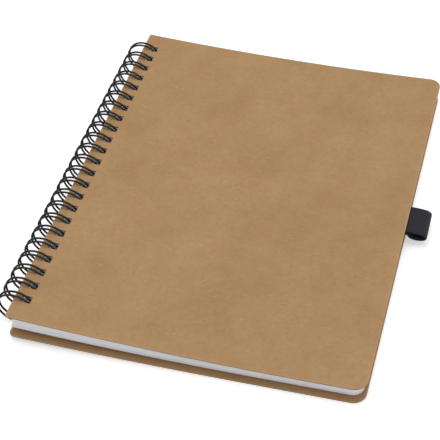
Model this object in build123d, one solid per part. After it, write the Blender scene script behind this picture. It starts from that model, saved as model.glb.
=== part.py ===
from build123d import *
import math
import os

# A twin-loop bound notebook lying closed on its back cover. Millimetres, +Z up.
# While it is modelled, X runs from the front cover's spine edge to the fore-edge and Y from the near edge
# to the far edge. The finished pieces are moved so that the origin is at the middle of the base.

# Covers
cover_width = 159.0
cover_height = 210.0
board = 0.6
cover_corner_radius = 6.0
front_spine_top = 15.5
front_middle_top = 10.5
front_fore_edge_top = 9.6
back_spine_lift = 2.4
back_lift_length = 110.0
back_cover_shift = -0.5

# Leaves
page_inset_ends = 3.4
page_inset_fore_edge = 2.0
page_corner_radius = 5.0
page_clearance = 0.3
page_spine_lift = 1.5

# Punched holes, three to the inch
hole_count = 23
hole_pitch = 25.4 / 3
hole_size = 4.0
hole_edge_margin = 3.7

# Twin-loop wire
wire_diameter = 1.0
ring_inner_diameter = 15.875
pair_spacing = 2.25
seam_bend_radius = 1.0
seam_angle = -44.8
seam_opening = 2.8

# Elastic pen loop, its two tails fixed inside the front cover
loop_width = 17.0
elastic = 0.9
loop_reach = 10.3
loop_height = 5.5
loop_flat = 2.8
loop_neck = 0.4
tail_length = 16.0
layer_gap = 0.05
glue_line = 0.1
tail_clearance = 0.3

# Height of the tall blocks that cut plan outlines and holes
cutter_height = 100.0


def front_top_at(x):
    """Height of the front cover's bowed top surface, as a parabola through its three set heights."""
    share = x / cover_width
    bow = 2 * (front_spine_top + front_fore_edge_top - 2 * front_middle_top)
    chord = front_spine_top + (front_fore_edge_top - front_spine_top) * share
    return chord - bow * share * (1 - share)


# The ring stands on the base and passes through the middle of the front cover's holes
ring_radius = (ring_inner_diameter + wire_diameter) / 2
ring_z = ring_radius + wire_diameter / 2
hole_x = hole_edge_margin + hole_size / 2
ring_x = hole_x - math.sqrt(ring_radius**2 - (front_top_at(hole_x) - board / 2 - ring_z) ** 2)
first_hole = (cover_height - (hole_count - 1) * hole_pitch) / 2
hole_rows = [first_hole + hole_pitch * k for k in range(hole_count)]

# The pen loop's layers
tail_samples = 8
tail_roof = min(front_top_at(cover_width - tail_length * k / tail_samples) for k in range(tail_samples + 1))
upper_tail_z = tail_roof - board - glue_line - elastic / 2
lower_tail_z = upper_tail_z - elastic - layer_gap
loop_floor_z = upper_tail_z - loop_height
loop_tip_x = cover_width + loop_reach
fold_x = loop_tip_x - elastic / 2 - loop_height / 2
loop_y = cover_height / 2

ring_left_x = ring_x - ring_radius - wire_diameter / 2
base_middle = Location((-(ring_left_x + loop_tip_x) / 2, -cover_height / 2, 0))


def front_curve(drop):
    """The front cover's top surface in section, lowered by drop."""
    middle = cover_width / 2
    return ThreePointArc(*((x, front_top_at(x) - drop) for x in (0, middle, cover_width)))


def lifted_curve(height, lift):
    """A flat line at height from the fore-edge to the lift's foot, then an arc that rises by lift."""
    foot = back_cover_shift + back_lift_length
    end = cover_width + back_cover_shift
    arc = TangentArc((foot, height), (back_cover_shift, height + lift), tangent=(-1, 0))
    return [Line((end, height), (foot, height)), arc]


def along_y(edges, start, length):
    """A solid with the section that the edges enclose in X and Z, running along Y from start."""
    section = Plane(origin=(0, start, 0), x_dir=(1, 0, 0), z_dir=(0, -1, 0)) * make_face(edges)
    return extrude(section, -length)


def plan_block(x_start, x_end, y_start, y_end, radius):
    """A tall block with the plan outline of a board or leaf, rounded at the fore-edge corners."""
    outline = Rectangle(x_end - x_start, y_end - y_start, align=(Align.MIN, Align.MIN))
    outline = fillet(outline.vertices().group_by(Axis.X)[-1], radius)
    return extrude(Location((x_start, y_start, -cutter_height / 2)) * outline, cutter_height)


def punched(sheet, spine_edge):
    """A cover with its row of square holes along the spine edge."""
    holes = [
        Location((spine_edge + hole_x, y, 0)) * Box(hole_size, hole_size, cutter_height) for y in hole_rows
    ]
    return sheet - holes


def disc(radius, x, y, thickness):
    """A disc across Y at the ring's height."""
    return Location((x, y, ring_z), (90, 0, 0)) * Cylinder(radius, thickness)


def make_front_cover():
    """The front board, which bows down from the binding."""
    top = front_curve(0)
    under = front_curve(board)
    ends = [Line(top @ 0, under @ 0), Line(top @ 1, under @ 1)]
    sheet = along_y([top, under, *ends], 0, cover_height)
    outline = plan_block(0, cover_width, 0, cover_height, cover_corner_radius)
    return punched(sheet & outline, 0)


def make_back_cover():
    """The back board, flat on the base and lifted at the spine by the ring under it."""
    under = lifted_curve(0, back_spine_lift)
    top = lifted_curve(board, back_spine_lift)
    ends = [Line(under[0] @ 0, top[0] @ 0), Line(under[1] @ 1, top[1] @ 1)]
    sheet = along_y([*under, *top, *ends], 0, cover_height)
    fore_edge = back_cover_shift + cover_width
    outline = plan_block(back_cover_shift, fore_edge, 0, cover_height, cover_corner_radius)
    return punched(sheet & outline, back_cover_shift)


def make_page_block():
    """All the leaves as one solid, their spine edges and holes following the ring."""
    top = front_curve(board + page_clearance)
    under = lifted_curve(board + page_clearance, back_spine_lift + page_spine_lift)
    ends = [Line(top @ 0, under[1] @ 1), Line(top @ 1, under[0] @ 0)]
    block = along_y([top, *under, *ends], 0, cover_height)
    block &= plan_block(
        0,
        cover_width - page_inset_fore_edge,
        page_inset_ends,
        cover_height - page_inset_ends,
        page_corner_radius,
    )
    block -= disc(ring_radius, ring_x - hole_x, loop_y, cover_height)
    half_hole = hole_size / 2
    for y in hole_rows:
        outer = disc(ring_radius + half_hole, ring_x, y, hole_size)
        block -= outer - disc(ring_radius - half_hole, ring_x, y, hole_size)
    return block - tail_recess()


def tail_recess():
    """The step in the top leaves that the pen loop's tails lie in."""
    length = tail_length + tail_clearance
    width = loop_width + 2 * tail_clearance
    floor = lower_tail_z - elastic / 2 - tail_clearance
    corner = Location((cover_width - length, loop_y, floor))
    return corner * Box(length, width, cutter_height, align=(Align.MIN, Align.CENTER, Align.MIN))


def on_ring(angle, y, along=0.0):
    """A point of the wire's centre line, moved by along in the direction that a loop is wound."""
    turn = math.radians(angle)
    x = ring_x + ring_radius * math.cos(turn) + along * math.sin(turn)
    return (x, y, ring_z + ring_radius * math.sin(turn) - along * math.cos(turn))


def loop_edges(y):
    """One loop of the wire: out round the ring, a hairpin at the tip, and back beside itself."""
    half = pair_spacing / 2
    tip = seam_angle + math.degrees(seam_opening / ring_radius)
    finish = tip - 360
    middle = (seam_angle + finish) / 2
    out = ThreePointArc(*(on_ring(a, y - half) for a in (seam_angle, middle, finish)))
    hairpin = ThreePointArc(on_ring(finish, y - half), on_ring(finish, y, half), on_ring(finish, y + half))
    back = ThreePointArc(*(on_ring(a, y + half) for a in (finish, middle, seam_angle)))
    return [out, hairpin, back]


def link_edges(y):
    """The straight link at the seam from one loop to the next, with a bend at each end."""
    start = y + pair_spacing / 2
    end = y + hole_pitch - pair_spacing / 2
    bend = seam_bend_radius
    half_way = bend * math.sin(math.radians(45))
    short = bend - half_way
    first = ThreePointArc(
        on_ring(seam_angle, start),
        on_ring(seam_angle, start + short, -half_way),
        on_ring(seam_angle, start + bend, -bend),
    )
    last = ThreePointArc(
        on_ring(seam_angle, end - bend, -bend),
        on_ring(seam_angle, end - short, -half_way),
        on_ring(seam_angle, end),
    )
    return [first, Line(first @ 1, last @ 0), last]


def make_wire_binding():
    """The whole binding, bent from one wire."""
    edges = []
    for y in hole_rows:
        edges.extend(loop_edges(y))
        if y != hole_rows[-1]:
            edges.extend(link_edges(y))
    path = Wire([edge.edge() for edge in edges])
    section = Plane(origin=path @ 0, z_dir=path % 0) * Circle(wire_diameter / 2)
    wire = sweep(section, path)
    print("wire volume over section times length", wire.volume / (section.area * path.length))
    return wire


def make_pen_loop():
    """The elastic strip: a tail, the round outer fold, the floor and the rise to the second tail."""
    tail_x = cover_width - tail_length
    neck_x = cover_width - loop_neck
    heel_x = fold_x - loop_flat
    fold_z = upper_tail_z - loop_height / 2
    rise_middle = ((heel_x + neck_x) / 2, (loop_floor_z + lower_tail_z) / 2)
    curves = [
        Line((tail_x, upper_tail_z), (fold_x, upper_tail_z)),
        ThreePointArc((fold_x, upper_tail_z), (fold_x + loop_height / 2, fold_z), (fold_x, loop_floor_z)),
        Line((fold_x, loop_floor_z), (heel_x, loop_floor_z)),
        TangentArc((heel_x, loop_floor_z), rise_middle, tangent=(-1, 0)),
        TangentArc((neck_x, lower_tail_z), rise_middle, tangent=(1, 0)),
        Line((neck_x, lower_tail_z), (tail_x, lower_tail_z)),
    ]
    upright = Plane(origin=(0, loop_y, 0), x_dir=(1, 0, 0), z_dir=(0, -1, 0))
    path = upright * Wire([curve.edge() for curve in curves])
    section = Plane(origin=path @ 0, x_dir=(0, 1, 0), z_dir=(1, 0, 0)) * Rectangle(loop_width, elastic)
    return sweep(section, path)


pieces = {
    "front_cover": make_front_cover(),
    "page_block": make_page_block(),
    "back_cover": make_back_cover(),
    "wire_binding": make_wire_binding(),
    "pen_loop": make_pen_loop(),
}

os.makedirs("parts", exist_ok=True)
for name, piece in pieces.items():
    export_step(base_middle * piece, f"parts/{name}.step")
print("hinge x and z", ring_x + base_middle.position.X, ring_z)
print("pen loop inside, x and z", fold_x + base_middle.position.X, loop_floor_z, upper_tail_z)
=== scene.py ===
import logging
from collections.abc import Callable
from dataclasses import dataclass, field
from enum import Enum
from typing import ClassVar

import bpy
import numpy as np
from mathutils import Matrix, Vector


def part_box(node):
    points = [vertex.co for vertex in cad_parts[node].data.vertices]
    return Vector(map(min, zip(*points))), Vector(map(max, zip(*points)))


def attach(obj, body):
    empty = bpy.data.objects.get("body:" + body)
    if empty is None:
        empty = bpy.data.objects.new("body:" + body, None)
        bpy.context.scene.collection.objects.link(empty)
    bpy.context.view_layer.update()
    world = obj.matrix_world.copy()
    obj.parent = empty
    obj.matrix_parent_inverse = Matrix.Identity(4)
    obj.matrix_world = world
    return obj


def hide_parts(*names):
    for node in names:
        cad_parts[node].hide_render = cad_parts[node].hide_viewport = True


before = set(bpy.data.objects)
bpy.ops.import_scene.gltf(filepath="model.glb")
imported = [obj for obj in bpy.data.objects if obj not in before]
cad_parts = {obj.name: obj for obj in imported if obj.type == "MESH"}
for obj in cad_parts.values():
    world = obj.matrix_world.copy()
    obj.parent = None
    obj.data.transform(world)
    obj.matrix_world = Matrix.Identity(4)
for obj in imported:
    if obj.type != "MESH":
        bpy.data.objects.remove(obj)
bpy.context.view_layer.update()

MM = 0.001
SHARP_ANGLE = np.radians(35)
ROUNDING_SEGMENTS = 2
WHITE = (1.0, 1.0, 1.0, 1.0)
log = logging.getLogger("notebook")

Array = np.ndarray
Colour = tuple[float, float, float, float]
Height = Callable[[Array], Array]
Material = bpy.types.Material
Socket = bpy.types.NodeSocket
Tree = bpy.types.NodeTree


class Body(Enum):
    """The moving bodies that a piece can ride on."""

    LEAVES = "root"
    FRONT = "front"
    BACK = "back"


class Slot(Enum):
    """The record's material slots."""

    BOARD = "kraft_board"
    PAPER = "paper"
    WIRE = "coated_wire"
    ELASTIC = "elastic"


def srgb(code: str) -> Colour:
    """Turns an sRGB hex colour into the linear colour that a shader takes.

    Args:
        code: Six hex digits.

    Returns:
        Red, green and blue, and an alpha of 1.
    """
    raw = np.array([int(code[i : i + 2], 16) for i in (0, 2, 4)]) / 255
    linear = np.where(raw <= 0.04045, raw / 12.92, ((raw + 0.055) / 1.055) ** 2.4)
    return (*linear.tolist(), 1.0)


def node(tree: Tree, kind: str, inputs: dict | None = None, **settings: object) -> bpy.types.Node:
    """Adds a shader node with its settings, values and links.

    Args:
        tree: The node tree that gets the node.
        kind: The node's type, without the ShaderNode prefix.
        inputs: Each socket's name or number, with its value or the output that feeds it.
        settings: The node's own properties.

    Returns:
        The new node.
    """
    made = tree.nodes.new(f"ShaderNode{kind}")
    for name, value in settings.items():
        setattr(made, name, value)
    for name, value in (inputs or {}).items():
        if isinstance(value, Socket):
            tree.links.new(value, made.inputs[name])
        else:
            made.inputs[name].default_value = value
    return made


def blank_material(name: str) -> tuple[Material, Tree]:
    """Makes an empty node material.

    Args:
        name: The real material's name.

    Returns:
        The material and its node tree.
    """
    material = bpy.data.materials.new(name)
    material.use_nodes = True
    material.node_tree.nodes.clear()
    return material, material.node_tree


def signed_power(wave: Array, power: float) -> Array:
    """A wave's size to a power, with the wave's sign."""
    return np.sign(wave) * np.abs(wave) ** power


def tube_faces(rows: int, columns: int) -> list[list[int]]:
    """Joins rings of points into a tube, each ring to the next, and closes both ends.

    Args:
        rows: How many rings of points there are.
        columns: How many points a ring has.

    Returns:
        Each face's point numbers, the quads first and then the two ends.
    """
    first = np.arange(columns)
    start = np.arange(rows - 1)[:, None] * columns
    near, far = start + first, start + (first + 1) % columns
    quads = np.stack([near, far, far + columns, near + columns], -1).reshape(-1, 4)
    last = first + (rows - 1) * columns
    return [*quads.tolist(), first[::-1].tolist(), last.tolist()]


def shell(top: Array, under: Array, kept: Array) -> tuple[Array, Array, Array]:
    """Closes two grids of points into one sheet with walls round its outline and its holes.

    A cell's edge gets a wall where the cell on its other side is left out. The upper and lower quads start
    at the same corner, so both split along the same diagonal and stacked sheets stay clear of each other.

    Args:
        top: The upper points, as rows, columns and 3.
        under: The lower points, in the same order.
        kept: Which cells the sheet has, as rows - 1 and columns - 1.

    Returns:
        The points, the quads, and whether each quad is a wall.
    """
    rows, columns = top.shape[:2]
    number = np.arange(rows * columns).reshape(rows, columns)
    corners = [number[:-1, :-1], number[:-1, 1:], number[1:, 1:], number[1:, :-1]]
    ringed = np.pad(kept, 1)
    beside = [ringed[:-2, 1:-1], ringed[1:-1, 2:], ringed[2:, 1:-1], ringed[1:-1, :-2]]
    face = np.stack([c[kept] for c in corners], -1)
    drop = rows * columns
    walls = []
    for side in range(4):
        open_side = kept & ~beside[side]
        first, last = corners[side][open_side], corners[(side + 1) % 4][open_side]
        walls.append(np.stack([last, first, first + drop, last + drop], -1))
    wall = np.concatenate(walls)
    quads = np.concatenate([face, face[:, [0, 3, 2, 1]] + drop, wall])
    used, quads = np.unique(quads, return_inverse=True)
    points = np.concatenate([top.reshape(-1, 3), under.reshape(-1, 3)])[used]
    is_wall = np.arange(len(face) * 2 + len(wall)) >= len(face) * 2
    return points, quads.reshape(-1, 4), is_wall


def add_piece(
    name: str, points: Array, faces: list | Array, materials: list[Material], body: Body, slot: Slot
) -> bpy.types.Object:
    """Makes a smooth-shaded mesh piece that rides on a body.

    Args:
        name: The piece's name.
        points: Its points in the row frame, in metres.
        faces: Its faces' point numbers.
        materials: Its materials, in the order of its face numbers.
        body: What it rides on.
        slot: Not used.

    Returns:
        The new object.
    """
    mesh = bpy.data.meshes.new(name)
    mesh.from_pydata(np.asarray(points).tolist(), [], [list(f) for f in faces])
    mesh.shade_smooth()
    piece = bpy.data.objects.new(name, mesh)
    bpy.context.scene.collection.objects.link(piece)
    for material in materials:
        mesh.materials.append(material)
    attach(piece, body.value)
    return piece


def soften_edges(piece: bpy.types.Object, width: float) -> None:
    """Rounds a piece's sharp edges and keeps its flat faces flat in shading.

    Args:
        piece: The piece.
        width: How far the rounding reaches from the edge.
    """
    bevel = piece.modifiers.new("softened_edges", "BEVEL")
    bevel.width = width
    bevel.segments = ROUNDING_SEGMENTS
    bevel.limit_method = "ANGLE"
    bevel.angle_limit = SHARP_ANGLE
    bevel.harden_normals = True


@dataclass(frozen=True)
class Patches:
    """A tone that comes and goes over a surface with noise of a set size.

    The tone starts where the noise passes low, and from high on it has its full share.
    """

    tone: str
    size: float
    low: float
    high: float
    share: float = 1.0
    detail: float = 2.0
    roughness: float = 0.5
    easing: str = "LINEAR"

    def over(
        self, tree: Tree, place: Socket, beneath: Socket | Colour, mask: Socket | None = None
    ) -> tuple[Socket, Socket]:
        """Lays the tone over a colour.

        Args:
            tree: The material's node tree.
            place: The output that says where on the surface a point is.
            beneath: The colour beneath, or the output that gives it.
            mask: An output that the tone's share is multiplied by.

        Returns:
            The output with the new colour, and the one with the noise.
        """
        settings = {"Scale": 1 / self.size, "Detail": self.detail, "Roughness": self.roughness}
        noise = node(tree, "TexNoise", {"Vector": place, **settings}).outputs[0]
        limits = {"Value": noise, "From Min": self.low, "From Max": self.high, "To Max": self.share}
        share = node(tree, "MapRange", limits, interpolation_type=self.easing).outputs[0]
        if mask is not None:
            share = node(tree, "Math", {0: share, 1: mask}, operation="MULTIPLY").outputs[0]
        tones = {"Factor": share, "A": beneath, "B": srgb(self.tone)}
        return node(tree, "Mix", tones, data_type="RGBA").outputs["Result"], noise


@dataclass(frozen=True)
class Relief:
    """A surface's fine relief, and the range of its roughness."""

    depth: float
    smoothest: float
    roughest: float
    strength: float = 1.0

    def finish(self, tree: Tree, colour: Socket, height: Socket, polish: Socket, values: dict) -> None:
        """Ends a material with its shader.

        Args:
            tree: The material's node tree.
            colour: The output with the colour.
            height: The output with the relief's height.
            polish: The output that takes the roughness through its range.
            values: What the shader's other sockets are set to.
        """
        relief = {"Height": height, "Distance": self.depth, "Strength": self.strength}
        bump = node(tree, "Bump", relief).outputs[0]
        limits = {"Value": polish, "To Min": self.smoothest, "To Max": self.roughest}
        rough = node(tree, "MapRange", limits).outputs[0]
        surface = {"Base Color": colour, "Roughness": rough, "Normal": bump, **values}
        node(tree, "OutputMaterial", {"Surface": node(tree, "BsdfPrincipled", surface).outputs[0]})


@dataclass(frozen=True)
class KraftBoard:
    """Uncoated kraft board, pressed from unbleached fibre.

    The eye sees a matt tan face with soft cloudy patches, and a thin scatter of darker bark specks and
    paler straw fibres, which lie at a slant. The rims are painted a little paler, a painted highlight where
    the board's edges catch the light.
    """

    name: str = "kraft_board_uncoated"
    tone: str = "AE8B63"
    cloud: Patches = Patches("A5825A", 22 * MM, 0.38, 0.66, detail=4.0, roughness=0.6)
    grain: Patches = Patches("8A6742", 2.2 * MM, 0.35, 0.8, share=0.3, detail=3.0, roughness=0.7)
    speck: Patches = Patches("8A6742", 1.1 * MM, 0.70, 0.78, share=0.55, detail=1.0, easing="SMOOTHSTEP")
    fibre: Patches = Patches("C4A47C", 3.0 * MM, 0.66, 0.76, share=0.5, easing="SMOOTHSTEP")
    fibre_slant: float = 0.5
    fibre_stretch: float = 3.5
    # Painted highlight: the paler tone that the rims are mixed towards, where the board's edges catch the
    # light.
    rim_highlight_tone: str = "C9AE8C"
    rim_highlight_share: float = 0.28
    tooth: float = 0.35 * MM
    relief: Relief = Relief(0.03 * MM, 0.76, 0.88, strength=0.6)
    gloss: float = 0.25
    ior: float = 1.47

    def make(self) -> Material:
        """Builds the board's material.

        Returns:
            The material.
        """
        material, tree = blank_material(self.name)
        place = node(tree, "TexCoord").outputs["Object"]
        clouded, _ = self.cloud.over(tree, place, srgb(self.tone))
        grained, grain = self.grain.over(tree, place, clouded)
        specked, _ = self.speck.over(tree, place, grained)
        slant = {"Vector": place, "Rotation": (0, 0, self.fibre_slant), "Scale": (1, self.fibre_stretch, 1)}
        fibred, _ = self.fibre.over(tree, node(tree, "Mapping", slant).outputs[0], specked)
        # Painted highlight: mixes the rims towards the paler tone, standing in for the light that the board's
        # edges catch.
        rim_highlight = node(tree, "Attribute", attribute_name="rim_highlight").outputs["Fac"]
        share = node(tree, "Math", {0: rim_highlight, 1: self.rim_highlight_share}, operation="MULTIPLY").outputs[0]
        tones = {"Factor": share, "A": fibred, "B": srgb(self.rim_highlight_tone)}
        rim_highlighted = node(tree, "Mix", tones, data_type="RGBA").outputs["Result"]
        tooth = node(tree, "TexNoise", {"Vector": place, "Scale": 1 / self.tooth, "Detail": 2.0}).outputs[0]
        self.relief.finish(tree, rim_highlighted, tooth, grain, {"Specular IOR Level": self.gloss, "IOR": self.ior})
        return material


@dataclass(frozen=True)
class CutBoardEdge:
    """The knife-cut edge of kraft board.

    The eye sees a greyer, fuzzier band than the pressed face, in thin lines that run along the board.
    """

    name: str = "kraft_board_cut_edge"
    tone: str = "A88A66"
    ply: Patches = Patches("7F6042", 0.2 * MM, 0.4, 0.7, share=0.5, detail=1.0)
    ply_stretch: float = 0.04
    fuzz: float = 0.5 * MM
    relief: Relief = Relief(0.05 * MM, 0.85, 1.0)
    gloss: float = 0.2

    def make(self) -> Material:
        """Builds the cut edge's material.

        Returns:
            The material.
        """
        material, tree = blank_material(self.name)
        place = node(tree, "TexCoord").outputs["Object"]
        stretch = {"Vector": place, "Scale": (self.ply_stretch, self.ply_stretch, 1)}
        colour, _ = self.ply.over(tree, node(tree, "Mapping", stretch).outputs[0], srgb(self.tone))
        fuzz = node(tree, "TexNoise", {"Vector": place, "Scale": 1 / self.fuzz, "Detail": 3.0}).outputs[0]
        self.relief.finish(tree, colour, fuzz, fuzz, {"Specular IOR Level": self.gloss})
        return material


@dataclass(frozen=True)
class WritingPaper:
    """Machine-made writing paper, cut in a stack.

    The eye sees a cool white face, and on the cut edges fine grey lines, which are painted shade in the
    gaps between the leaves. Each line stands for a few leaves, because single leaves are too thin to show.
    """

    name: str = "writing_paper_stack"
    tone: str = "F8F9FC"
    # Painted shade: grey lines on the cut faces, for the shade in the gaps between the leaves.
    leaf_gap_shade: Patches = Patches("BDBBBE", 0.55 * MM, 0.5, 0.75, share=0.45, detail=3.0)
    gap_shade_stretch: float = 0.012
    patch: Patches = Patches("BDBBBE", 30 * MM, 0.4, 0.7, share=0.04)
    tooth: float = 0.25 * MM
    relief: Relief = Relief(0.015 * MM, 0.78, 0.92, strength=0.5)
    gloss: float = 0.3

    def make(self) -> Material:
        """Builds the paper's material.

        Returns:
            The material.
        """
        material, tree = blank_material(self.name)
        place = node(tree, "TexCoord").outputs["Object"]
        stretch = {"Vector": place, "Scale": (self.gap_shade_stretch, self.gap_shade_stretch, 1)}
        along = node(tree, "Mapping", stretch).outputs[0]
        # Painted shade: only the cut faces take the grey lines, which stand in for the shade between the
        # leaves.
        edge = node(tree, "Attribute", attribute_name="cut_edge").outputs["Fac"]
        gap_shaded, _ = self.leaf_gap_shade.over(tree, along, srgb(self.tone), mask=edge)
        colour, _ = self.patch.over(tree, place, gap_shaded)
        tooth = node(tree, "TexNoise", {"Vector": place, "Scale": 1 / self.tooth, "Detail": 2.0}).outputs[0]
        self.relief.finish(tree, colour, tooth, tooth, {"Specular IOR Level": self.gloss})
        return material


@dataclass(frozen=True)
class NylonCoatedWire:
    """Steel wire with a black nylon coat.

    The eye sees near-black wire with a soft satin highlight along each turn, broken by the coat's slight
    orange peel.
    """

    name: str = "nylon_coated_wire"
    tone: str = "0D0D10"
    rubbed: Patches = Patches("19191D", 4 * MM, 0.45, 0.7)
    peel: float = 0.8 * MM
    relief: Relief = Relief(0.02 * MM, 0.42, 0.6, strength=0.5)
    gloss: float = 0.28
    ior: float = 1.53

    def make(self) -> Material:
        """Builds the coated wire's material.

        Returns:
            The material.
        """
        material, tree = blank_material(self.name)
        place = node(tree, "TexCoord").outputs["Object"]
        colour, rubbed = self.rubbed.over(tree, place, srgb(self.tone))
        peel = node(tree, "TexNoise", {"Vector": place, "Scale": 1 / self.peel, "Detail": 1.0}).outputs[0]
        self.relief.finish(tree, colour, peel, rubbed, {"IOR": self.ior, "Specular IOR Level": self.gloss})
        return material


@dataclass(frozen=True)
class WovenElastic:
    """Woven elastic band, polyester over rubber.

    The eye sees a charcoal band that takes almost no shine, ribbed along its length by the rubber cores
    and crossed by finer weft threads, with painted shade darkening the grooves. Its thicker selvedges
    catch a little light.
    """

    name: str = "woven_elastic_band"
    tone: str = "28262E"
    # Painted shade: the darker tone for the grooves of the weave.
    groove_shade_tone: str = "1F1D24"
    fluff: Patches = Patches("302E37", 0.7 * MM, 0.5, 0.8, share=0.6, detail=3.0)
    rib: float = 1.0 * MM
    weft: float = 0.45 * MM
    weft_share: float = 0.45
    relief: Relief = Relief(0.03 * MM, 0.82, 0.98, strength=0.6)
    gloss: float = 0.2
    sheen: float = 0.12
    sheen_roughness: float = 0.5

    def make(self) -> Material:
        """Builds the elastic's material, on a UV map in metres, first along the band and then across.

        The weave's height is the ribs' cosine across the band, plus a share of the weft's cosine along it.
        Where the weave is low, its colour is painted darker, as shade in the grooves.

        Returns:
            The material.
        """
        material, tree = blank_material(self.name)
        along_across = node(tree, "UVMap", uv_map="band").outputs[0]
        parts = node(tree, "SeparateXYZ", {0: along_across}).outputs
        waves = []
        for part, spacing in ((parts["Y"], self.rib), (parts["X"], self.weft)):
            angle = node(tree, "Math", {0: part, 1: 2 * np.pi / spacing}, operation="MULTIPLY").outputs[0]
            waves.append(node(tree, "Math", {0: angle}, operation="COSINE").outputs[0])
        rib, weft = waves
        height = {0: weft, 1: self.weft_share, 2: rib}
        weave = node(tree, "Math", height, operation="MULTIPLY_ADD").outputs[0]
        # Painted shade: where the weave is low its colour is mixed towards the darker tone, as the shade in
        # its grooves.
        limits = {"Value": weave, "From Min": -1 - self.weft_share, "From Max": 1.0}
        share = node(tree, "MapRange", limits).outputs[0]
        tones = {"Factor": share, "A": srgb(self.groove_shade_tone), "B": srgb(self.tone)}
        threads = node(tree, "Mix", tones, data_type="RGBA").outputs["Result"]
        colour, fluff = self.fluff.over(tree, along_across, threads)
        fibres = {"Sheen Weight": self.sheen, "Sheen Roughness": self.sheen_roughness}
        self.relief.finish(tree, colour, weave, fluff, {**fibres, "Specular IOR Level": self.gloss})
        return material


@dataclass
class Binding:
    """Where the ring and its holes are. Every piece that the wire passes takes its places from here."""

    wire_diameter: float = 1.0 * MM
    hole_count: int = 23
    hole_pitch: float = 25.4 / 3 * MM
    hole_size: float = 4.0 * MM
    hole_margin: float = 3.7 * MM
    radius: float = field(init=False)
    x: float = field(init=False)
    z: float = field(init=False)

    def __post_init__(self) -> None:
        """Takes the ring's radius and centre from the wire's box."""
        low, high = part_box("wire_binding")
        half_wire = self.wire_diameter / 2
        self.z = (low.z + high.z) / 2
        self.radius = (high.z - low.z) / 2 - half_wire
        self.x = low.x + half_wire + self.radius

    @property
    def rows(self) -> Array:
        """The holes' middles along the spine."""
        return (np.arange(self.hole_count) - (self.hole_count - 1) / 2) * self.hole_pitch

    def hole_edges(self) -> Array:
        """Both edges of every hole along the spine, from the near one to the far one."""
        half = self.hole_size / 2
        return (self.rows[:, None] + np.array([-half, half])).reshape(-1)

    def punched(self, row_y: Array, column_from_spine: Array) -> Array:
        """Tells which cells of a board's or leaf's grid aren't in a hole.

        Args:
            row_y: The grid's rows along the spine.
            column_from_spine: The grid's columns, as distances from the spine edge.

        Returns:
            One truth value for each cell.
        """
        middle_y = (row_y[:-1] + row_y[1:]) / 2
        middle_x = (column_from_spine[:-1] + column_from_spine[1:]) / 2
        in_row = (np.abs(middle_y[:, None] - self.rows) < self.hole_size / 2).any(axis=1)
        in_column = np.abs(middle_x - self.hole_margin - self.hole_size / 2) < self.hole_size / 2
        return ~(in_row[:, None] & in_column[None, :])

    def arc_x(self, z: Array) -> Array:
        """The wire's place on the leaves' side of the ring at a height."""
        return self.x + np.sqrt(self.radius**2 - (z - self.z) ** 2)


@dataclass
class SheetPlan:
    """The plan outline of a board or leaf, rounded at the fore-edge corners."""

    near: float
    far: float
    corner: float
    corner_steps: int = 10

    def row_y(self, holes: Array) -> Array:
        """Places the grid's rows: close together round the corners, and on both edges of every hole.

        Args:
            holes: The holes' edges along the spine.

        Returns:
            The rows, from the near edge to the far edge.
        """
        turn = np.linspace(0, np.pi / 2, self.corner_steps)
        reach = self.corner * (1 - np.cos(turn))
        return np.concatenate([self.near + reach, holes, (self.far - reach)[::-1]])

    def set_back(self, y: Array, radius: float) -> Array:
        """How far a rounded corner's circle sets the outline back in each row.

        Args:
            y: The rows.
            radius: The corner's radius.

        Returns:
            The distance in each row, none between the corners.
        """
        from_end = np.clip(np.minimum(y - self.near, self.far - y), 0, radius)
        return radius - np.sqrt(np.maximum(radius**2 - (radius - from_end) ** 2, 0))

    def fore_edge(self, y: Array, full: float) -> Array:
        """The fore-edge's place in each row, set back round the corners."""
        return full - self.set_back(y, self.corner)


@dataclass
class Profiles:
    """The heights of the covers and leaves across the notebook, from the spine edge to the fore-edge."""

    spine: float = field(init=False)
    width: float = field(init=False)
    spine_top: float = field(init=False)
    middle_top: float = 10.5 * MM
    fore_edge_top: float = 9.6 * MM
    board: float = 0.6 * MM
    gap: float = 0.3 * MM
    back_lift: float = 2.4 * MM
    page_lift: float = 1.5 * MM
    lift_length: float = 110 * MM
    back_shift: float = -0.5 * MM

    def __post_init__(self) -> None:
        """Takes the front cover's spine edge, width and height from its box."""
        low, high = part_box("front_cover")
        self.spine, self.width, self.spine_top = low.x, high.x - low.x, high.z

    def front_top(self, x: Array) -> Array:
        """The front cover's top, a parabola through its heights at the spine, middle and fore-edge.

        Args:
            x: Places across the notebook.

        Returns:
            The height at each place.
        """
        share = (x - self.spine) / self.width
        bow = 2 * (self.spine_top + self.fore_edge_top - 2 * self.middle_top)
        return self.spine_top + (self.fore_edge_top - self.spine_top) * share - bow * share * (1 - share)

    def front_under(self, x: Array) -> Array:
        """The front cover's underside."""
        return self.front_top(x) - self.board

    def lifted(self, x: Array, height: float, lift: float) -> Array:
        """A level line, and over the lift's length an arc that rises by lift at the spine.

        Args:
            x: Places across the notebook.
            height: The level line's height.
            lift: How far the arc rises.

        Returns:
            The height at each place.
        """
        radius = (self.lift_length**2 + lift**2) / (2 * lift)
        run = np.clip(self.spine + self.back_shift + self.lift_length - x, 0, None)
        return height + radius - np.sqrt(radius**2 - run**2)

    def back_under(self, x: Array) -> Array:
        """The back cover's underside."""
        return self.lifted(x, 0.0, self.back_lift)

    def back_top(self, x: Array) -> Array:
        """The back cover's upper face."""
        return self.lifted(x, self.board, self.back_lift)

    def leaves_under(self, x: Array) -> Array:
        """The lowest leaf's underside."""
        return self.lifted(x, self.board + self.gap, self.back_lift + self.page_lift)

    def leaves_top(self, x: Array) -> Array:
        """The top leaf's upper face."""
        return self.front_top(x) - self.board - self.gap


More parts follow.
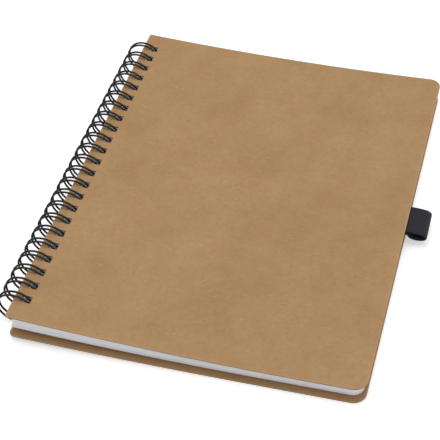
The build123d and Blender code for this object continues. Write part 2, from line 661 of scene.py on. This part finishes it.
@dataclass
class Cover:
    """A kraft board cover with its row of square holes, built in place."""

    name: str
    node_name: str
    body: Body
    binding: Binding
    corner: float = 6 * MM
    spine_corner: float = 0.0
    edge_rounding: float = 0.14 * MM
    rim_highlight_reach: float = 0.45 * MM
    across: int = 28
    inner_lines: ClassVar[tuple[float, ...]] = (0.0, 0.3 * MM, 0.9 * MM, 2.0 * MM)

    def build(self, top: Height, under: Height, materials: list[Material]) -> bpy.types.Object:
        """Builds the cover between two height functions.

        Columns keep their distance from the spine edge until a hole's width past the holes, and then spread
        to the fore-edge. Round the spine's corners the columns before the holes move in with the outline.

        Args:
            top: Gives the upper face's height at places across.
            under: Gives the lower face's height at places across.
            materials: The board's face and its cut edge.

        Returns:
            The cover.
        """
        low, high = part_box(self.node_name)
        plan = SheetPlan(low.y, high.y, self.corner)
        y = plan.row_y(self.binding.hole_edges())
        margin, size = self.binding.hole_margin, self.binding.hole_size
        inner = np.array([*self.inner_lines, margin, margin + size, margin + 2 * size])
        spread = np.linspace(0, 1, self.across)[1:]
        fore = plan.fore_edge(y, high.x)
        start = low.x + inner[-1]
        last = fore[:, None] - np.array(self.inner_lines[1:])[::-1]
        set_back = plan.set_back(y, self.spine_corner)[:, None]
        near_spine = inner + set_back * np.clip(1 - inner / margin, 0, None)
        across = start + (last[:, :1] - start) * spread
        x = np.concatenate([low.x + near_spine, across, last[:, 1:], fore[:, None]], axis=1)
        grid_y = np.broadcast_to(y[:, None], x.shape)
        kept = self.binding.punched(y, x[len(y) // 2] - low.x)
        faces = [np.stack([x, grid_y, height(x)], -1) for height in (top, under)]
        points, quads, is_wall = shell(*faces, kept)
        cover = add_piece(self.name, points, quads, materials, self.body, Slot.BOARD)
        cover.data.polygons.foreach_set("material_index", is_wall.astype(np.int32))
        # Painted highlight: each point's share of the paler rim tone, 1 on the outline and fading inwards.
        rim_highlight = cover.data.attributes.new("rim_highlight", "FLOAT", "POINT")
        rim_highlight.data.foreach_set("value", self.rim_highlighted(points, plan, low.x, high.x).astype(np.float32))
        soften_edges(cover, self.edge_rounding)
        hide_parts(self.node_name)
        return cover

    def rim_highlighted(self, points: Array, plan: SheetPlan, spine: float, fore_edge: float) -> Array:
        """How much painted rim highlight each point takes: 1 on the outline, fading with an exponential
        inwards.

        Args:
            points: The cover's points.
            plan: Its outline.
            spine: Its spine edge.
            fore_edge: Its fore-edge between the corners.

        Returns:
            A share for each point.
        """
        x, y = points[:, 0], points[:, 1]
        to_fore = plan.fore_edge(y, fore_edge) - x
        to_edge = np.minimum(np.minimum(x - spine, to_fore), np.minimum(y - plan.near, plan.far - y))
        return np.exp(-np.maximum(to_edge, 0) / self.rim_highlight_reach)


@dataclass
class Leaves:
    """The plain leaves, in bundles of two or three, each a sheet of its own with its holes."""

    binding: Binding
    profiles: Profiles
    bundles: int = 40
    air: float = 0.06
    corner: float = 5 * MM
    jog_across: float = 0.11 * MM
    jog_along: float = 0.12 * MM
    jog_most: float = 0.28 * MM
    across: int = 11
    seed: int = 7
    slack: float = 1.2 * MM
    spine_inset: float = 0.3 * MM
    shared_start: float = 13.5 * MM
    press_depth: float = 2.2 * MM
    press_start: float = 15 * MM
    press_fade: float = 14 * MM
    corner_steps: int = 6
    near_fore: ClassVar[tuple[float, ...]] = (24 * MM, 18 * MM, 13 * MM, 8 * MM, 4 * MM)

    def pressed(self, x: Array, y: Array) -> Array:
        """How far the top leaf dips under the pen loop's tails, fading smoothly round them.

        Args:
            x: Places across the notebook.
            y: Places along it.

        Returns:
            The dip at each place.
        """
        low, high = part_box("pen_loop")
        fore_edge = self.profiles.spine + self.profiles.width
        inward = (x - (fore_edge - self.press_start - self.press_fade)) / self.press_fade
        beside = (high.y + self.press_fade - np.abs(y)) / self.press_fade
        share = np.clip(inward, 0, 1) * np.clip(beside, 0, 1)
        return self.press_depth * share**2 * (3 - 2 * share)

    def heights(self, share: float, x: Array, y: Array) -> Array:
        """Height of a face that lies a share of the way up the stack."""
        under, top = self.profiles.leaves_under(x), self.profiles.leaves_top(x)
        return under + (top - self.pressed(x, y) - under) * share

    def bundle(self, number: int, jog_x: float, jog_y: float) -> tuple[Array, Array, Array]:
        """Builds one bundle as a sheet.

        Its spine edge and holes follow the wire's arc at its height, hanging back on the wire by the holes'
        slack. Past the holes all bundles share the same columns, so that their curved faces lie parallel.

        Args:
            number: Which bundle it is, from 0 for the lowest.
            jog_x: How far it is moved across.
            jog_y: How far it is moved along.

        Returns:
            The points, the quads, and whether each quad is a wall.
        """
        low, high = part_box("page_block")
        binding, profiles = self.binding, self.profiles
        margin, size = binding.hole_margin, binding.hole_size
        bottom_share = number / self.bundles
        top_share = (number + 1 - self.air) / self.bundles
        plan = SheetPlan(low.y + jog_y, high.y + jog_y, self.corner, self.corner_steps)
        y = plan.row_y(binding.hole_edges())
        hole_x = np.array(profiles.spine + margin + size / 2)
        on_wire = binding.arc_x(self.heights(bottom_share, hole_x, np.zeros(()))) - margin - size / 2
        spine = max(float(on_wire) - self.slack, profiles.spine + self.spine_inset)
        start = profiles.spine + self.shared_start
        fore = plan.fore_edge(y, high.x)
        last = fore[:, None] - np.array(self.near_fore)
        inner = spine + np.array([0, margin, margin + size])
        holes = np.broadcast_to(inner, (len(y), len(inner)))
        across = start + (last[:, :1] - start) * np.linspace(0, 1, self.across)
        x = np.concatenate([holes, across, last[:, 1:], fore[:, None] - abs(jog_x)], axis=1)
        x[:, 0] += abs(jog_x)
        grid_y = np.broadcast_to(y[:, None], x.shape)
        kept = binding.punched(y, x[len(y) // 2] - spine)
        shares = (top_share, bottom_share)
        return shell(*(np.stack([x, grid_y, self.heights(share, x, grid_y)], -1) for share in shares), kept)

    def build(self, material: Material) -> bpy.types.Object:
        """Builds all the bundles as one piece.

        Each bundle is moved across and along by a small seeded distance, as hand-squared paper is.

        Args:
            material: The paper.

        Returns:
            The leaves.
        """
        rng = np.random.default_rng(self.seed)
        jogs = rng.normal(0, (self.jog_across, self.jog_along), (self.bundles, 2))
        jogs = np.clip(jogs, -self.jog_most, self.jog_most)
        points, faces, walls, total = [], [], [], 0
        for number, (jog_x, jog_y) in enumerate(jogs):
            sheet, quads, is_wall = self.bundle(number, jog_x, jog_y)
            points.append(sheet)
            faces.append(quads + total)
            walls.append(is_wall)
            total += len(sheet)
        stack = np.concatenate(points), np.concatenate(faces)
        leaves = add_piece("leaves", *stack, [material], Body.LEAVES, Slot.PAPER)
        self.mark_cut_edges(leaves.data, np.concatenate(walls))
        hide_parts("page_block")
        return leaves

    def mark_cut_edges(self, mesh: bpy.types.Mesh, is_edge: Array) -> None:
        """Marks the cut faces for the paper's painted shade lines, shades them flat and keeps their rims
        sharp.

        Args:
            mesh: The leaves' mesh.
            is_edge: Whether each face is a cut one.
        """
        cut = mesh.attributes.new("cut_edge", "FLOAT", "FACE")
        cut.data.foreach_set("value", is_edge.astype(np.float32))
        mesh.polygons.foreach_set("use_smooth", ~is_edge)
        sharp = mesh.attributes.new("sharp_edge", "BOOLEAN", "EDGE")
        loop_edges = np.zeros(len(mesh.loops), np.int32)
        mesh.loops.foreach_get("edge_index", loop_edges)
        on_rim = np.zeros(len(mesh.edges), bool)
        on_rim[loop_edges[np.repeat(is_edge, 4)]] = True
        sharp.data.foreach_set("value", on_rim)


@dataclass
class TwinLoopWire:
    """The binding, bent from one wire: pairs of loops round the ring, joined by straight links."""

    binding: Binding
    pair_spacing: float = 2.25 * MM
    bend: float = 1.0 * MM
    seam_angle: float = -44.8
    seam_opening: float = 2.8 * MM
    sides: int = 12
    turn_steps: int = 76
    bend_steps: int = 7
    tip_steps: int = 11

    def on_ring(self, angle: Array, y: Array, along: Array) -> tuple[Array, Array]:
        """Places points on the ring's tangent plane at an angle.

        Args:
            angle: Degrees round the ring from level.
            y: Places along the spine.
            along: Distances from the touching line, the way a loop is wound.

        Returns:
            The points, and the ring's outward direction at each.
        """
        turn = np.radians(angle)
        outward = np.stack([np.cos(turn), 0 * turn, np.sin(turn)], -1)
        wound = np.stack([np.sin(turn), 0 * turn, -np.cos(turn)], -1)
        middle = np.stack([0 * turn + self.binding.x, y + 0 * turn, 0 * turn + self.binding.z], -1)
        return middle + outward * self.binding.radius + wound * np.asarray(along)[..., None], outward

    def one_loop(self) -> tuple[Array, Array]:
        """The centre line of one pair of wires and the link after it, round y = 0.

        Out round the ring at one place along the spine, a half circle at the tip, back beside itself, and
        a quarter circle, a straight run and a quarter circle to the next pair.

        Returns:
            The line's points, and the ring's outward direction at each.
        """
        half = self.pair_spacing / 2
        finish = self.seam_angle + np.degrees(self.seam_opening / self.binding.radius) - 360
        round_ring = np.linspace(self.seam_angle, finish, self.turn_steps)
        tip = np.linspace(-90, 90, self.tip_steps)[1:-1]
        corner = np.radians(np.linspace(0, 90, self.bend_steps))
        leave, arrive = corner[1:], corner[::-1][:-1]
        link_end = self.binding.hole_pitch - half
        bend = self.bend
        stretches = [
            (round_ring, -half + 0 * round_ring, 0 * round_ring),
            (finish + 0 * tip, half * np.sin(np.radians(tip)), half * np.cos(np.radians(tip))),
            (round_ring[::-1], half + 0 * round_ring, 0 * round_ring),
            (0 * leave + self.seam_angle, half + bend * (1 - np.cos(leave)), -bend * np.sin(leave)),
            (0 * arrive + self.seam_angle, link_end - bend * (1 - np.cos(arrive)), -bend * np.sin(arrive)),
        ]
        angle, y, along = (np.concatenate(part) for part in zip(*stretches))
        return self.on_ring(angle, y, along)

    def build(self, material: Material) -> bpy.types.Object:
        """Carries a circle along the whole centre line and closes both ends.

        The circle stands across the line, on the ring's outward direction and the direction square to that
        and to the line.

        Args:
            material: The coated wire.

        Returns:
            The wire.
        """
        pair, pair_out = self.one_loop()
        shift = self.binding.rows[:, None, None] * np.array([0, 1, 0])
        line = (pair[None] + shift).reshape(-1, 3)
        outward = np.broadcast_to(pair_out[None], (len(self.binding.rows), *pair_out.shape)).reshape(-1, 3)
        link = 2 * self.bend_steps - 2
        line, outward = line[:-link], outward[:-link]
        run = np.gradient(line, axis=0)
        run -= (run * outward).sum(-1, keepdims=True) * outward
        run /= np.linalg.norm(run, axis=-1, keepdims=True)
        side = np.cross(run, outward)
        turn = np.linspace(0, 2 * np.pi, self.sides, endpoint=False)[None, :, None]
        radius = self.binding.wire_diameter / 2
        skin = line[:, None] + radius * (np.cos(turn) * outward[:, None] + np.sin(turn) * side[:, None])
        faces = tube_faces(len(line), self.sides)
        wire = add_piece("twin_loop_wire", skin.reshape(-1, 3), faces, [material], Body.LEAVES, Slot.WIRE)
        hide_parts("wire_binding")
        return wire


@dataclass
class PenLoop:
    """The elastic pen loop: one strip, its two tails glued under the front cover at the fore-edge."""

    width: float = 17 * MM
    elastic: float = 0.9 * MM
    flat_length: float = 57.3 * MM
    steps: int = 110
    sides: int = 28
    selvedge: float = 0.14 * MM
    spline_steps: int = 24
    across_power: float = 0.35
    lift_power: float = 0.5
    waist_power: float = 0.5
    along_line: ClassVar[Array] = (
        np.array(
            [
                (-16.0, 8.30),
                (-8.0, 8.30),
                (-1.0, 8.30),
                (4.0, 8.12),
                (7.9, 7.45),
                (9.72, 5.85),
                (8.3, 4.30),
                (5.0, 3.95),
                (2.3, 4.75),
                (0.7, 6.45),
                (-1.9, 7.32),
                (-8.0, 7.35),
                (-16.0, 7.35),
            ]
        )
        * MM
    )

    def centre_line(self, fore_edge: float) -> tuple[Array, Array]:
        """A smooth line through the strip's places in section, out from the cover and back under it.

        Between two places the line is a cubic whose direction at each end is half the step from the place
        before to the place after. It is then divided evenly along its length.

        Args:
            fore_edge: The front cover's fore-edge.

        Returns:
            The line's points across and up, and the distance along it.
        """
        place = self.along_line
        held = np.concatenate([2 * place[:1] - place[1:2], place, 2 * place[-1:] - place[-2:-1]])
        t = np.linspace(0, 1, self.spline_steps, endpoint=False)[:, None]
        before, here, after, next_after = (held[i : len(held) - 3 + i, None] for i in range(4))
        cubed = 3 * (here - after) + next_after - before
        squared = 2 * before - 5 * here + 4 * after - next_after
        curve = here + 0.5 * t * (after - before + t * (squared + t * cubed))
        fine = np.concatenate([curve.reshape(-1, 2), place[-1:]])
        run = np.concatenate([[0], np.cumsum(np.linalg.norm(np.diff(fine, axis=0), axis=1))])
        even = np.linspace(0, run[-1], self.steps)
        line = np.stack([np.interp(even, run, fine[:, i]) for i in range(2)], -1)
        return line + np.array([fore_edge, 0]), even

    def build(self, material: Material) -> bpy.types.Object:
        """Carries the strip's section along its centre line.

        The section is a squarish oval. Its width is a cosine and its height a sine, each raised to a power
        with its sign kept. The height is then taken in towards the middle by a cosine across the strip,
        raised to a power, so that the selvedges stay thicker.

        Args:
            material: The elastic.

        Returns:
            The pen loop.
        """
        line, distance = self.centre_line(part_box("front_cover")[1].x)
        run = np.gradient(line, axis=0)
        run /= np.linalg.norm(run, axis=1, keepdims=True)
        face = np.stack([-run[:, 1], run[:, 0]], -1)
        turn = np.linspace(0, 2 * np.pi, self.sides, endpoint=False)
        across = signed_power(np.cos(turn), self.across_power) * self.width / 2
        middle = np.cos(np.pi / 2 * across / (self.width / 2)) ** self.waist_power
        waist = 1 - self.selvedge / self.elastic * middle
        lift = signed_power(np.sin(turn), self.lift_power) * self.elastic / 2 * waist
        flat = line[:, None] + face[:, None] * lift[None, :, None]
        skin = np.stack([flat[..., 0], np.broadcast_to(-across, flat.shape[:2]), flat[..., 1]], -1)
        faces = [face[::-1] for face in tube_faces(self.steps, self.sides)]
        points = skin.reshape(-1, 3)
        strip = add_piece("elastic_pen_loop", points, faces, [material], Body.FRONT, Slot.ELASTIC)
        self.map_band(strip.data, distance, across)
        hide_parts("pen_loop")
        return strip

    def map_band(self, mesh: bpy.types.Mesh, distance: Array, across: Array) -> None:
        """Gives the strip a UV map in metres, first along it and then across.

        Args:
            mesh: The strip's mesh.
            distance: How far along the strip each ring of points is.
            across: Where across the strip each point of a ring is.
        """
        point = np.zeros(len(mesh.loops), np.int32)
        mesh.loops.foreach_get("vertex_index", point)
        pair = np.stack([distance[point // self.sides], across[point % self.sides]], -1)
        mesh.uv_layers.new(name="band").data.foreach_set("uv", pair.reshape(-1).astype(np.float32))


@dataclass
class Studio:
    """The pale floor, the soft light and the camera."""

    floor_reach: float = 4.0
    floor_drop: float = 0.05 * MM
    floor_tone: str = "E6E6E6"
    floor_glow: float = 0.45
    sky: float = 0.7
    key_energy: float = 3.5
    key_size: float = 0.7
    key_place: tuple[float, float, float] = (-0.05, 0.08, 0.95)
    lens: float = 105.30
    sensor: float = 36.0
    nearest: float = 10 * MM
    target: tuple[float, float, float] = (-9.302 * MM, -11.537 * MM, 0.0)
    distance: float = 617.238 * MM
    azimuth: float = 17.917
    elevation: float = 44.127
    roll: float = 3.68

    def build(self) -> None:
        """Puts up the floor, the light and the camera."""
        self.build_floor()
        self.build_light()
        self.build_camera()

    def build_floor(self) -> None:
        """A level sheet just under the notebook, which takes its shadow and reads as white to the camera."""
        material, tree = blank_material("matt_white_floor")
        white = node(tree, "BsdfDiffuse", {"Color": srgb(self.floor_tone)})
        ray = node(tree, "LightPath")
        glow = node(tree, "Math", {0: ray.outputs["Is Camera Ray"], 1: self.floor_glow}, operation="MULTIPLY")
        light = node(tree, "Emission", {"Strength": glow.outputs[0]})
        both = node(tree, "AddShader", {0: white.outputs[0], 1: light.outputs[0]})
        node(tree, "OutputMaterial", {"Surface": both.outputs[0]})
        reach = self.floor_reach
        plan = ((-reach, -reach), (reach, -reach), (reach, reach), (-reach, reach))
        corners = [(x, y, -self.floor_drop) for x, y in plan]
        mesh = bpy.data.meshes.new("floor")
        mesh.from_pydata(corners, [], [(0, 1, 2, 3)])
        mesh.materials.append(material)
        floor = bpy.data.objects.new("floor", mesh)
        bpy.context.scene.collection.objects.link(floor)

    def build_light(self) -> None:
        """An even sky that is white where it is seen, and one large soft lamp overhead."""
        world = bpy.data.worlds.new("even_sky")
        world.use_nodes = True
        tree = world.node_tree
        tree.nodes.clear()
        ray = node(tree, "LightPath").outputs
        seen = node(tree, "Math", {0: ray["Is Camera Ray"], 1: ray["Is Glossy Ray"]}, operation="ADD")
        either = {0: seen.outputs[0], 1: ray["Is Transmission Ray"]}
        seen = node(tree, "Math", either, operation="ADD", use_clamp=True)
        lit = node(tree, "Background", {"Color": WHITE, "Strength": self.sky})
        white = node(tree, "Background", {"Color": WHITE, "Strength": 1.0})
        mixed = node(tree, "MixShader", {0: seen.outputs[0], 1: lit.outputs[0], 2: white.outputs[0]})
        node(tree, "OutputWorld", {"Surface": mixed.outputs[0]})
        bpy.context.scene.world = world
        lamp = bpy.data.lights.new("soft_key", "AREA")
        lamp.energy = self.key_energy
        lamp.size = self.key_size
        key = bpy.data.objects.new("soft_key", lamp)
        place = Vector(self.key_place)
        key.matrix_world = Matrix.Translation(place) @ (-place).to_track_quat("-Z", "Y").to_matrix().to_4x4()
        bpy.context.scene.collection.objects.link(key)
        bpy.context.scene.view_settings.view_transform = "Standard"

    def build_camera(self) -> None:
        """The camera, looking at its target from an azimuth and elevation, turned a little about its view."""
        azimuth, elevation, roll = np.radians([self.azimuth, self.elevation, self.roll])
        level = np.cos(elevation)
        back = np.array([np.sin(azimuth) * level, -np.cos(azimuth) * level, np.sin(elevation)])
        right = np.cross(-back, [0, 0, 1])
        right /= np.linalg.norm(right)
        down = np.cross(-back, right)
        right_rolled = np.cos(roll) * right + np.sin(roll) * down
        down_rolled = np.cos(roll) * down - np.sin(roll) * right
        turned = np.eye(4)
        turned[:3, :3] = np.stack([right_rolled, -down_rolled, back], -1)
        turned[:3, 3] = np.array(self.target) + back * self.distance
        data = bpy.data.cameras.new("camera")
        data.sensor_width = self.sensor
        data.lens = self.lens
        data.clip_start = self.nearest
        camera = bpy.data.objects.new("camera", data)
        camera.matrix_world = Matrix(turned.tolist())
        bpy.context.scene.collection.objects.link(camera)
        bpy.context.scene.camera = camera


def report(piece: bpy.types.Object) -> None:
    """Logs a piece's name and how many faces it has."""
    log.info("%s: %d faces", piece.name, len(piece.data.polygons))


def main() -> None:
    """Builds the studio and then each piece of the notebook, in order."""
    logging.basicConfig(level=logging.INFO, format="%(name)s: %(message)s")
    Studio().build()
    binding, profiles = Binding(), Profiles()
    boards = [KraftBoard().make(), CutBoardEdge().make()]
    front = Cover("front_board", "front_cover", Body.FRONT, binding)
    report(front.build(profiles.front_top, profiles.front_under, boards))
    back = Cover("back_board", "back_cover", Body.BACK, binding, spine_corner=2.5 * MM)
    report(back.build(profiles.back_top, profiles.back_under, boards))
    report(Leaves(binding, profiles).build(WritingPaper().make()))
    report(TwinLoopWire(binding).build(NylonCoatedWire().make()))
    report(PenLoop().build(WovenElastic().make()))


if __name__ == "__main__":
    main()
